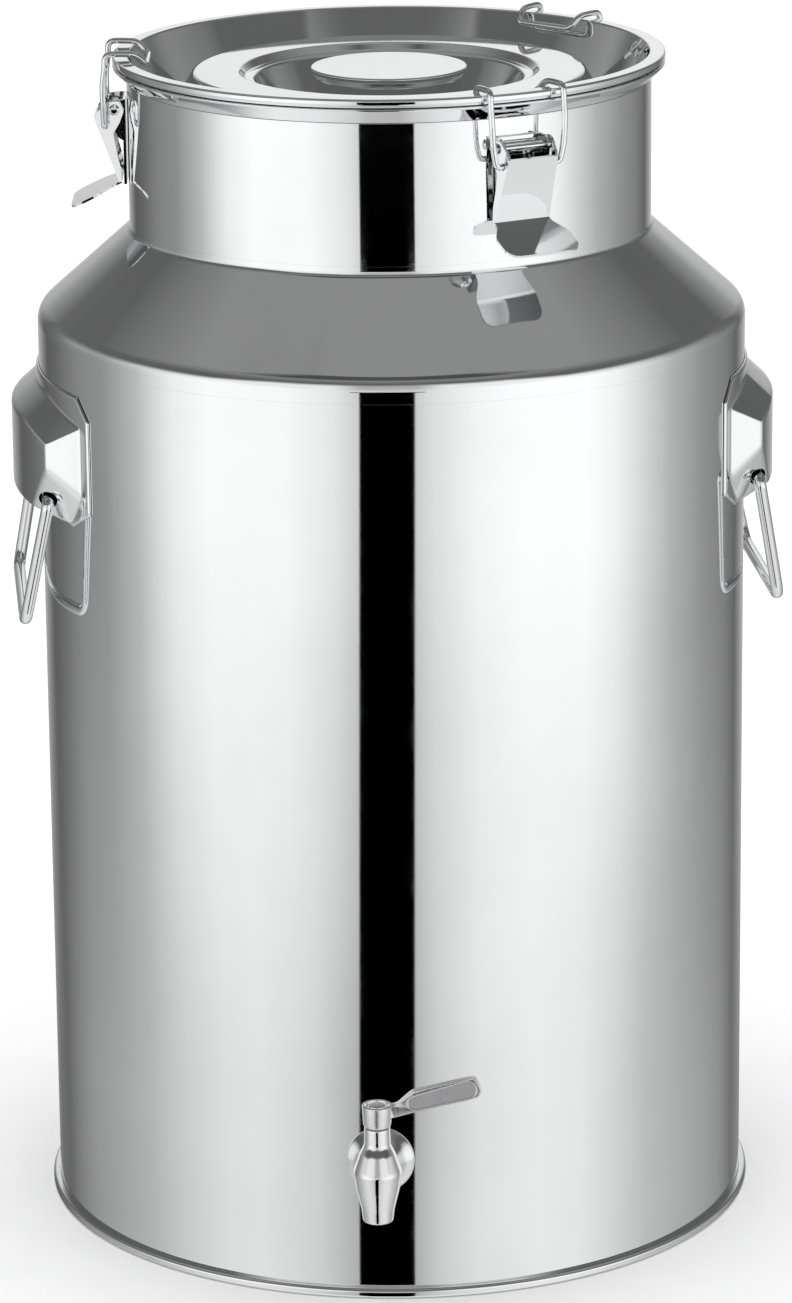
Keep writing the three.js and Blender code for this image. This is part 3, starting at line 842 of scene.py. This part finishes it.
def bracket_mesh():
    """A pressed sheet on a grid round the wall, with slanted flange ends and a rounded edge."""
    columns, rows = 210, 84
    verts, faces = [], []

    def put(skin):
        first = len(verts)
        for i in range(rows + 1):
            for j in range(columns + 1):
                s = BRACKET_HALF * (2 * j / columns - 1)
                low = BRACKET_LOW + 0.5 * max(0, abs(s) - 68)
                high = BRACKET_HIGH - max(0, abs(s) - 76)
                z = low + (high - low) * i / rows
                edge = min(BRACKET_HALF - abs(s), z - low, high - z) / EDGE_ROUND
                skin_here = skin * math.sqrt(max(0.04, 1 - max(0, 1 - edge) ** 2))
                r = BODY_R + BRACKET_BACK + skin_here + bracket_depth(s, z)
                angle = s / BODY_R
                verts.append((r * math.sin(angle) * MM, -r * math.cos(angle) * MM, z * MM))
        return first

    outer, inner = put(SHEET), put(0)
    width = columns + 1

    def at(first, i, j):
        return first + i * width + j

    shift = inner - outer
    for i in range(rows):
        for j in range(columns):
            a, b, c, d = (at(outer, i, j), at(outer, i, j + 1), at(outer, i + 1, j + 1),
                          at(outer, i + 1, j))
            faces.append((a, b, c, d))
            faces.append((d + shift, c + shift, b + shift, a + shift))
    border = ([(0, j) for j in range(columns)] + [(i, columns) for i in range(rows)]
              + [(rows, j) for j in range(columns, 0, -1)]
              + [(i, 0) for i in range(rows, 0, -1)])
    for (i, j), (k, m) in zip(border, border[1:] + border[:1]):
        faces.append((at(inner, i, j), at(inner, k, m), at(outer, k, m), at(outer, i, j)))
    mesh = bpy.data.meshes.new("bracket")
    mesh.from_pydata(verts, [], faces)
    made = bmesh.new()
    made.from_mesh(mesh)
    bmesh.ops.recalc_face_normals(made, faces=made.faces)
    made.to_mesh(mesh)
    made.free()
    near, far = HINGE_HOLE_ENDS
    tools = [bar((side * near, -HINGE_OUT, HINGE_Z), (side * far, -HINGE_OUT, HINGE_Z),
                 HINGE_HOLE_R, sides=48) for side in (1, -1)]
    mesh = boolean(mesh, "DIFFERENCE", *tools)
    mesh.shade_smooth()
    mesh.set_sharp_from_angle(angle=math.radians(50))
    return mesh


def ring_mesh():
    lean = math.radians(RING_REST_TILT)
    bar_out = -(HINGE_OUT + RING_DROP * math.sin(lean))
    bar_z = HINGE_Z - RING_DROP * math.cos(lean)
    points = [(RING_END_HALF, -HINGE_OUT, HINGE_Z), (RING_TOP_HALF, -HINGE_OUT, HINGE_Z),
              (RING_BAR_HALF, bar_out, bar_z), (-RING_BAR_HALF, bar_out, bar_z),
              (-RING_TOP_HALF, -HINGE_OUT, HINGE_Z), (-RING_END_HALF, -HINGE_OUT, HINGE_Z)]
    return swept_mesh("ring", bent_path(points, RING_BEND_R, 1.2), RING_WIRE_R, sides=32)


def make_handles():
    for side, azimuth in (("right", 90), ("left", -90)):
        placed = facing(azimuth)
        finish_piece(f"handle_housing_{side}", bracket_mesh(), f"handle_bracket_{side}", placed)
        finish_piece(f"handle_loop_{side}", ring_mesh(), f"handle_ring_{side}", placed)


# ---- tap ----
# Turned outlines of (radius, place along the axis, corner radius): the spout, its bore and the hub
# stand upright at TAP_OUT, the flange lies level at TAP_Z. The paddle's is (out from the hub's
# axis, height, corner radius).
SPOUT = [(0, 50.8, 0), (7.3, 50.8, 0.8), (8, 57, 12), (10.6, 67.5, 16), (11.9, 76, 7),
         (8.6, 85.5, 7), (6.5, 89.5, 4), (6.2, 98.8, 0.5), (0, 98.8, 0)]
SPOUT_BORE = [(0, 47, 0), (4.7, 47, 0.2), (4.7, 68, 0.2), (0, 68, 0)]
TAP_FLANGE = [(0, 177.6, 0), (16.6, 177.6, 0.5), (16.6, 179.4, 1.4), (12.4, 182.6, 9),
              (8.7, 187, 3), (8.7, 200, 1), (0, 200, 0)]
HUB = [(0, 99.2, 0), (6.4, 99.2, 0.5), (6.8, 101, 3), (7.3, 110, 0.8), (6.1, 110, 0.3),
       (5.8, 108.4, 0.3), (4.4, 108.4, 0.3), (4.1, 109.8, 0.4), (0, 109.9, 0)]
PADDLE = [(3, 102.9, 0.5), (9, 104.2, 8), (17.2, 106.6, 20), (44.5, 113.3, 8), (50.6, 115.6, 4),
          (48.2, 125, 4), (41, 123.4, 8), (16.6, 117.2, 8), (9.6, 110.7, 5), (3, 109.2, 0.5)]
TAP_VOXEL = 0.38


def at_tap(side=0):
    """Moves a piece from the axis to the tap's own axis, and to one side of it."""
    return Matrix.Translation((0, (side - TAP_OUT) * MM, 0))


def tap_body_mesh():
    """Spout, neck, flange and shank as one casting, its joints softened into fillets."""
    body = turned_mesh("spout", rounded(SPOUT, 6), 96, closed=False)
    body.transform(at_tap())
    dome = turned_mesh("flange", rounded(TAP_FLANGE, 6), 96, closed=False)
    dome.transform(Matrix.Translation((0, 0, TAP_Z * MM)) @ Matrix.Rotation(math.pi / 2, 4, "X"))
    near, far = SHANK_ENDS
    shank = bar((0, -near, TAP_Z), (0, -far, TAP_Z), SHANK_R, sides=64)
    outlet = turned_mesh("bore", rounded(SPOUT_BORE, 3), 64, closed=False)
    outlet.transform(at_tap())
    joined = boolean(body, "UNION", dome, shank)
    work = bpy.data.objects.new("work", boolean(joined, "DIFFERENCE", outlet))
    bpy.context.scene.collection.objects.link(work)
    fine = work.modifiers.new("fine", "REMESH")
    fine.mode = "VOXEL"
    fine.voxel_size = TAP_VOXEL * MM
    soften = work.modifiers.new("soften", "SMOOTH")
    soften.factor = 0.5
    soften.iterations = 8
    bpy.context.view_layer.update()
    mesh = evaluated(work)
    mesh.shade_smooth()
    return mesh


def stadium(start_r, end_r):
    """A long rounded outline round two circles, one at each end of the paddle's inlay."""
    a, b = Vector(INLAY_START), Vector(INLAY_END)
    steps = 14
    heading = math.atan2(b.y - a.y, b.x - a.x)
    lean = math.asin((start_r - end_r) / (b - a).length)
    outline = []
    for centre, radius, first, sweep in (
            (b, end_r, heading - math.pi / 2 + lean, math.pi - 2 * lean),
            (a, start_r, heading + math.pi / 2 - lean, math.pi + 2 * lean)):
        for k in range(steps + 1):
            angle = first + sweep * k / steps
            outline.append((centre.x + radius * math.cos(angle),
                            centre.y + radius * math.sin(angle)))
    return outline


def edgewise(outline, thickness):
    """A flat plate standing on edge in the x-z plane, centred on y = 0."""
    blank = prism(outline, -thickness / 2, thickness / 2)
    blank.transform(Matrix.Rotation(math.pi / 2, 4, "Z"))
    return blank


def tap_lever_mesh():
    """A hub with a paddle that stands on edge and has a shallow pocket on each face."""
    hub = turned_mesh("hub", rounded(HUB, 5), 72, closed=False)
    blade = edgewise(round_outline(PADDLE, 10), BLADE_T)
    pockets = []
    for side in (1, -1):
        pocket = edgewise(stadium(3.3, 4.2), POCKET_T)
        pocket.transform(Matrix.Translation((0, side * POCKET_OUT * MM, 0)))
        pockets.append(pocket)
    mesh = eased(boolean(blade, "DIFFERENCE", *pockets), 0.35, angle=35)
    mesh = boolean(mesh, "UNION", hub)
    mesh.transform(at_tap())
    mesh.shade_smooth()
    mesh.set_sharp_from_angle(angle=math.radians(40))
    return mesh


def make_tap():
    """The tap's pieces. They stay out of reflections, as the wall behind shows none of them."""
    placed = facing(TAP_AZIMUTH)
    casting = finish_piece("tap_casting", tap_body_mesh(), "tap_body", placed)
    paddle = finish_piece("tap_paddle", tap_lever_mesh(), "tap_lever", placed)
    paddle.data.materials[0] = BRUSHED
    pieces = [casting, paddle]
    for name, side in (("front", -1), ("back", 1)):
        panel = edgewise(stadium(3.1, 4.0), INLAY_T)
        panel.transform(at_tap(side * INLAY_OUT))
        inlay = finish_piece(f"tap_inlay_{name}", eased(panel, 0.08), "tap_lever", placed,
                             replaces=False)
        inlay.data.materials[0] = SATIN
        pieces.append(inlay)
    pieces += [part for name, part in frame["nodes"].items() if name.startswith("tap_")]
    for piece in pieces:
        piece.visible_glossy = False


# ---- studio ----
STUDIO_GAIN = 1.41
STUDIO_AZIMUTH = PHOTO_AZIMUTH - 1.2
# Brightness round the studio at three heights, as (azimuth from STUDIO_AZIMUTH, level).
LIGHT_LOW = [
    (-180, 0.30), (-160, 0.15), (-146, 0.13), (-138, 0.19), (-122, 0.30), (-106, 0.37),
    (-90, 0.45), (-74, 0.60), (-58, 0.72), (-46, 0.75), (-26, 0.64), (-12, 0.43), (7, 0.44),
    (14, 0.59), (28, 0.74), (48, 0.81), (64, 0.78), (80, 0.62), (92, 0.49), (112, 0.39),
    (136, 0.28), (152, 0.15), (180, 0.30)]
LIGHT_HIGH = [
    (-180, 0.62), (-164, 0.35), (-150, 0.10), (-138, 0.13), (-122, 0.22), (-106, 0.27),
    (-90, 0.47), (-82, 0.67), (-74, 0.85), (-60, 0.99), (-34, 0.97), (-18, 0.80), (-11, 0.64),
    (7, 0.58), (14, 0.73), (28, 0.92), (44, 1.0), (66, 1.0), (78, 0.88), (88, 0.69), (104, 0.43),
    (122, 0.28), (140, 0.20), (152, 0.12), (164, 0.35), (180, 0.62)]
LIGHT_UPPER = [
    (-180, 0.80), (-170, 0.72), (-158, 0.28), (-148, 0.12), (-136, 0.15), (-122, 0.30),
    (-104, 0.34), (-86, 0.62), (-60, 0.88), (-18, 0.80), (-9, 0.42), (9, 0.42), (18, 0.80),
    (60, 0.88), (86, 0.62), (104, 0.34), (122, 0.26), (136, 0.14), (148, 0.11), (158, 0.28),
    (170, 0.72), (180, 0.80)]
# Elevations, in degrees, over which one part of the studio passes into the next, and their levels.
LOW_TO_HIGH = (-20.5, -14.6)
TO_FLOOR, FLOOR_LEVEL = (-70, -26), 0.75
TO_UPPER = (-2, 8)
DIM_START, DIM_WIDTH, DIM_DIP, DIM_LEVEL = 19, 12, 10, 0.11
TO_CEILING, CEILING_LEVEL = (33, 56), 0.25
PANEL_FOOT, PANEL_TOP, PANEL_LEVEL = (50, 56), (72, 77), 0.07
# The black flag: its lowest and highest elevation, and the azimuths of its left and right edges.
# The part that the body mirrors narrows as it goes down, and the neck's part is wider.
FLAG_LOW, FLAG_HIGH = -55, -9.5
FLAG_ON_BODY = (-22.2, -13.5)
FLAG_TO_NECK = (-12.7, -12.4)
FLAG_LEFT = (-12.4, -9.2)
FLAG_RIGHT = (5.9, 8.4)
FLAG_NECK_LEFT, FLAG_NECK_RIGHT = -12.0, 11.7


def world_light():
    """A wrap-round studio of broad bright walls, a narrow black flag and a dim ceiling.

    It goes by world directions, so it stays put in every view. The camera itself sees white.
    """
    world = bpy.data.worlds.new("studio")
    bpy.context.scene.world = world
    world.use_nodes = True
    tree = world.node_tree
    tree.nodes.clear()
    way = node(tree, "ShaderNodeTexCoord").outputs["Generated"]
    turn = node(tree, "ShaderNodeVectorRotate", rotation_type="Z_AXIS")
    turn.inputs["Angle"].default_value = math.radians(-STUDIO_AZIMUTH)
    tree.links.new(way, turn.inputs["Vector"])
    split = node(tree, "ShaderNodeSeparateXYZ")
    tree.links.new(turn.outputs[0], split.inputs[0])
    x, y, z = split.outputs
    azimuth = math_node(tree, "ARCTAN2", x, math_node(tree, "MULTIPLY", y, -1))
    azimuth = math_node(tree, "MULTIPLY", azimuth, 180 / math.pi)
    elevation = math_node(tree, "MULTIPLY", math_node(tree, "ARCSINE", z), 180 / math.pi)
    around = remap(tree, azimuth, -180, 180, 0, 1)

    def rising(span, low=0, high=1):
        """Goes from low to high over a span of elevations."""
        return remap(tree, elevation, *span, low, high)

    def wall(rows):
        return ramp(tree, around, [((degrees + 180) / 360, level) for degrees, level in rows])

    def blend(share, low, high):
        mixed = node(tree, "ShaderNodeMix", data_type="FLOAT")
        for slot, value in (("Factor", share), ("A", low), ("B", high)):
            if isinstance(value, (int, float)):
                mixed.inputs[slot].default_value = value
            else:
                tree.links.new(value, mixed.inputs[slot])
        return mixed.outputs["Result"]

    total = blend(rising(LOW_TO_HIGH), wall(LIGHT_LOW), wall(LIGHT_HIGH))
    total = blend(rising(TO_FLOOR, 1, 0), total, FLOOR_LEVEL)

    neck_share = rising(FLAG_TO_NECK)
    left_edge = blend(neck_share, rising(FLAG_ON_BODY, *FLAG_LEFT), FLAG_NECK_LEFT)
    right_edge = blend(neck_share, rising(FLAG_ON_BODY, *FLAG_RIGHT), FLAG_NECK_RIGHT)
    flag = math_node(tree, "MULTIPLY", math_node(tree, "GREATER_THAN", azimuth, left_edge),
                     math_node(tree, "LESS_THAN", azimuth, right_edge))
    for operation, limit in (("LESS_THAN", FLAG_HIGH), ("GREATER_THAN", FLAG_LOW)):
        flag = math_node(tree, "MULTIPLY", flag, math_node(tree, operation, elevation, limit))
    total = blend(flag, total, 0.0)

    total = blend(rising(TO_UPPER), total, wall(LIGHT_UPPER))
    # Above the walls it dims, and it does so lower down at the sides, 60 to 135 degrees round.
    side = math_node(tree, "ABSOLUTE", azimuth)
    dip = math_node(tree, "SUBTRACT", remap(tree, side, 40, 60, 0, 1),
                    remap(tree, side, 135, 150, 0, 1))
    above = math_node(tree, "MULTIPLY_ADD", dip, DIM_DIP,
                      math_node(tree, "SUBTRACT", elevation, DIM_START))
    total = blend(math_node(tree, "DIVIDE", above, DIM_WIDTH, clamp=True), total, DIM_LEVEL)
    total = blend(rising(TO_CEILING), total, CEILING_LEVEL)
    # A dark panel in the ceiling, on the camera's side.
    panel = math_node(tree, "MULTIPLY", rising(PANEL_FOOT), rising(PANEL_TOP, 1, 0))
    panel = math_node(tree, "MULTIPLY", panel, remap(tree, side, 50, 80, 1, 0))
    total = blend(panel, total, PANEL_LEVEL)

    total = math_node(tree, "MULTIPLY", total, STUDIO_GAIN)
    seen = node(tree, "ShaderNodeLightPath").outputs["Is Camera Ray"]
    background = node(tree, "ShaderNodeBackground")
    tree.links.new(blend(seen, total, 1.0), background.inputs["Strength"])
    to_output(tree, background, "ShaderNodeOutputWorld")


def floor_material():
    material, tree = new_material("pale_floor")
    place = node(tree, "ShaderNodeTexCoord").outputs["Object"]
    grain = noise_node(tree, place, 30, 3, 0.5)
    shader = node(tree, "ShaderNodeBsdfDiffuse")
    tree.links.new(ramp(tree, grain, [(0.3, (0.88, 0.88, 0.88)), (0.7, (0.90, 0.90, 0.90))]),
                   shader.inputs["Color"])
    to_output(tree, shader)
    return material


FLOOR_HALF = 20  # metres
FLOOR_Z = -0.0004  # metres


def make_floor():
    mesh = bpy.data.meshes.new("floor")
    half = FLOOR_HALF
    mesh.from_pydata([(-half, -half, 0), (half, -half, 0), (half, half, 0), (-half, half, 0)], [],
                     [(0, 1, 2, 3)])
    mesh.materials.append(floor_material())
    ground = bpy.data.objects.new("floor", mesh)
    bpy.context.scene.collection.objects.link(ground)
    ground.location.z = FLOOR_Z
    ground.visible_glossy = False


OVERHEAD_ENERGY = 3.3
OVERHEAD_SPREAD = math.radians(120)


def make_overhead():
    """A broad soft light from above, for the floor and the duller surfaces."""
    data = bpy.data.lights.new("overhead", "SUN")
    data.energy = OVERHEAD_ENERGY
    data.angle = OVERHEAD_SPREAD
    lamp = bpy.data.objects.new("overhead", data)
    bpy.context.scene.collection.objects.link(lamp)
    lamp.visible_glossy = False


def make_camera():
    """The photograph's view: about 2.8 m away, 16 degrees above the horizon, with a long lens."""
    data = bpy.data.cameras.new("camera")
    data.lens = CAMERA_LENS
    data.sensor_width = 36
    data.shift_x = CAMERA_SHIFT
    data.clip_end = 100
    camera = bpy.data.objects.new("camera", data)
    bpy.context.scene.collection.objects.link(camera)
    elevation = math.radians(CAMERA_ELEVATION)
    back = out_dir(PHOTO_AZIMUTH) * math.cos(elevation) + Vector((0, 0, math.sin(elevation)))
    camera.location = Vector((0, 0, CAMERA_TARGET_Z)) + back * CAMERA_DISTANCE
    camera.rotation_mode = "QUATERNION"
    roll = Matrix.Rotation(math.radians(CAMERA_ROLL), 4, "Z").to_quaternion()
    camera.rotation_quaternion = back.to_track_quat("Z", "Y") @ roll
    bpy.context.scene.camera = camera


def make_studio():
    world_light()
    make_floor()
    make_overhead()
    settings = bpy.context.scene.view_settings
    settings.view_transform = "Standard"
    settings.look = "None"


def carry_over():
    """Gives every CAD node that still shows the material of its slot."""
    for name, part in frame["nodes"].items():
        if not part.hide_render:
            part.data.materials.clear()
            part.data.materials.append(SLOT_MATERIALS[NODE_SLOTS[name]])


make_camera()
make_can()
seam_strip("body_seam", "body_wall", 180, BODY_R, FOOT_H + 0.4, BODY_TOP + 4)
seam_strip("neck_seam", "neck", 180, NECK_R, NECK_LOW, FLARE_LOW - 0.5)
make_lid()
make_latches()
make_handles()
make_tap()
carry_over()
make_studio()
